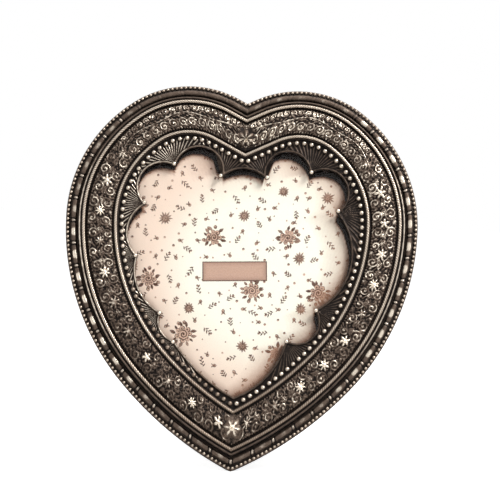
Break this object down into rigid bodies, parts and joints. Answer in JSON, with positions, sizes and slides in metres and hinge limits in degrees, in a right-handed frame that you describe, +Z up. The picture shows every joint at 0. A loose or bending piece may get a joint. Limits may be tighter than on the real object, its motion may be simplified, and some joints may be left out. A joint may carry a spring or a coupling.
{
  "type": "heart shaped photo frame",
  "caption": "Heart shaped tabletop photo frame: cast moulded rim with beading and embossed scrolls, scalloped window, glass and insert, back held by turn buttons, folding strut.",
  "frame": {"origin": "on the floor at the small flat under the heart's tip, midway across", "axes": "+X to the right seen from the front, +Y from the frame's face towards its strut, +Z up"},
  "size_m": [0.1696, 0.0852, 0.1806],
  "materials": {
    "antique_silver_casting": "satin",
    "rubbed_silver_trim": "satin",
    "clear_glass": "gloss",
    "printed_paper": "matte",
    "label_paper": "matte",
    "grey_card": "matte",
    "hardboard": "matte",
    "black_velvet": "matte",
    "nickel_hardware": "satin"
  },
  "bodies": {
    "frame": {"frame_casting": "antique_silver_casting", "outer_beading": "rubbed_silver_trim", "reeded_border": "antique_silver_casting", "outer_rope_rib": "rubbed_silver_trim", "embossed_band": "antique_silver_casting", "inner_rope_rib": "rubbed_silver_trim", "tip_flower": "antique_silver_casting", "notch_crest": "antique_silver_casting", "inner_beading": "rubbed_silver_trim", "scalloped_liner": "antique_silver_casting", "glass_pane": "clear_glass", "name_label": "label_paper", "floral_insert": "printed_paper", "filler_card": "grey_card", "backing_board": "hardboard", "velvet_back": "black_velvet", "turn_button_screws": "nickel_hardware", "hinge_leaf_board": "nickel_hardware", "hinge_pin": "nickel_hardware", "hinge_rivets": "nickel_hardware"},
    "strut": {"strut_board": "hardboard", "strut_velvet": "black_velvet", "hinge_leaf_strut": "nickel_hardware", "strut_rivets": "nickel_hardware"},
    "button_upper_right": {"turn_button_upper_right": "nickel_hardware"},
    "button_upper_left": {"turn_button_upper_left": "nickel_hardware"},
    "button_middle_right": {"turn_button_middle_right": "nickel_hardware"},
    "button_middle_left": {"turn_button_middle_left": "nickel_hardware"},
    "button_lower_right": {"turn_button_lower_right": "nickel_hardware"},
    "button_lower_left": {"turn_button_lower_left": "nickel_hardware"}
  },
  "joints": [
    {"name": "strut_fold", "type": "hinge", "parent": "frame", "child": "strut", "pos_m": [0, 0.03452, 0.11037], "axis": [-1, 0, 0], "range_deg": [0, 36.5]},
    {"name": "upper_right_button_turn", "type": "hinge", "parent": "frame", "child": "button_upper_right", "pos_m": [0.03785, 0.04666, 0.1634], "axis": [0, 0.9659, -0.2588], "range_deg": [-90, 90]},
    {"name": "upper_left_button_turn", "type": "hinge", "parent": "frame", "child": "button_upper_left", "pos_m": [-0.03785, 0.04666, 0.1634], "axis": [0, 0.9659, -0.2588], "range_deg": [-90, 90]},
    {"name": "middle_right_button_turn", "type": "hinge", "parent": "frame", "child": "button_middle_right", "pos_m": [0.07019, 0.03422, 0.11697], "axis": [0, 0.9659, -0.2588], "range_deg": [-90, 90]},
    {"name": "middle_left_button_turn", "type": "hinge", "parent": "frame", "child": "button_middle_left", "pos_m": [-0.07019, 0.03422, 0.11697], "axis": [0, 0.9659, -0.2588], "range_deg": [-90, 90]},
    {"name": "lower_right_button_turn", "type": "hinge", "parent": "frame", "child": "button_lower_right", "pos_m": [0.05646, 0.02022, 0.06474], "axis": [0, 0.9659, -0.2588], "range_deg": [-90, 90]},
    {"name": "lower_left_button_turn", "type": "hinge", "parent": "frame", "child": "button_lower_left", "pos_m": [-0.05646, 0.02022, 0.06474], "axis": [0, 0.9659, -0.2588], "range_deg": [-90, 90]}
  ]
}
